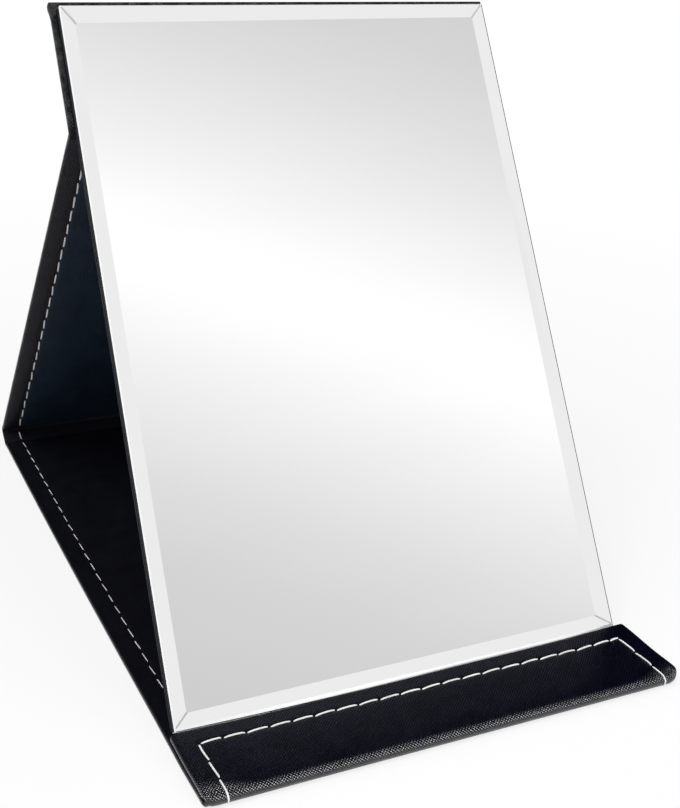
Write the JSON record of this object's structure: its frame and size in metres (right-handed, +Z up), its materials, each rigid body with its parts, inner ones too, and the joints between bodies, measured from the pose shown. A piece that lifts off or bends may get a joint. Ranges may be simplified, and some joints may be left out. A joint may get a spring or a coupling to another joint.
{
  "type": "folding makeup mirror",
  "caption": "Rectangular bevelled mirror in a stitched black leather-look cover whose boarded panels fold into a tent-shaped desk stand, with a front flap that stops the foot of the glass.",
  "frame": {"origin": "on the table, under the middle of the object's box", "axes": "+X to the right seen from the front, +Y to the back, +Z up; the glass faces forwards and up, towards -Y and +Z"},
  "size_m": [0.2036, 0.305, 0.2432],
  "materials": {
    "mirror_glass": "polished",
    "cover_leather": "satin",
    "lining_leather": "satin",
    "thread": "matte",
    "greyboard": "matte",
    "adhesive": "matte",
    "magnet": "satin"
  },
  "bodies": {
    "base": {"base_outer_leather": "cover_leather", "base_board": "greyboard", "base_lining": "lining_leather", "base_stitching": "thread", "lower_rear_fold_leather": "cover_leather", "front_fold_leather": "cover_leather"},
    "flap": {"flap_outer_leather": "cover_leather", "flap_board": "greyboard", "flap_lining": "lining_leather", "flap_magnets": "magnet", "flap_stitching": "thread"},
    "rear_spine": {"spine_outer_leather": "cover_leather", "spine_lining": "lining_leather", "upper_rear_fold_leather": "cover_leather"},
    "leg": {"leg_outer_leather": "cover_leather", "leg_board": "greyboard", "leg_lining": "lining_leather", "leg_stitching": "thread", "top_fold_leather": "cover_leather"},
    "mirror": {"mirror_glass": "mirror_glass", "glass_mounting_tape": "adhesive", "mirror_back_board": "greyboard", "mirror_back_wrap": "cover_leather", "strip_glue_sheet": "adhesive", "strip_lining": "lining_leather", "strip_board": "greyboard", "strip_magnets": "magnet", "strip_outer_leather": "cover_leather", "strip_stitching": "thread"}
  },
  "joints": [
    {"name": "stand_fold", "type": "hinge", "parent": "base", "child": "rear_spine", "pos_m": [0, 0.14413, 0.003], "axis": [-1, 0, 0], "range_deg": [0, 34.23], "deforming": ["lower_rear_fold_leather"]},
    {"name": "leg_fold", "type": "hinge", "parent": "rear_spine", "child": "leg", "pos_m": [0, 0.1495, 0.00666], "axis": [-1, 0, 0], "range_deg": [0, 91.5], "deforming": ["upper_rear_fold_leather"]},
    {"name": "mirror_fold", "type": "hinge", "parent": "leg", "child": "mirror", "pos_m": [0, 0.01613, 0.19652], "axis": [1, 0, 0], "range_deg": [0, 68.48], "deforming": ["top_fold_leather"]},
    {"name": "flap_fold", "type": "hinge", "parent": "base", "child": "flap", "pos_m": [0, -0.1498, 0.0027], "axis": [1, 0, 0], "range_deg": [0, 180], "deforming": ["front_fold_leather"]}
  ],
  "couplings": [
    {"joint": "mirror_fold", "follows": "stand_fold", "ratio": 2}
  ]
}
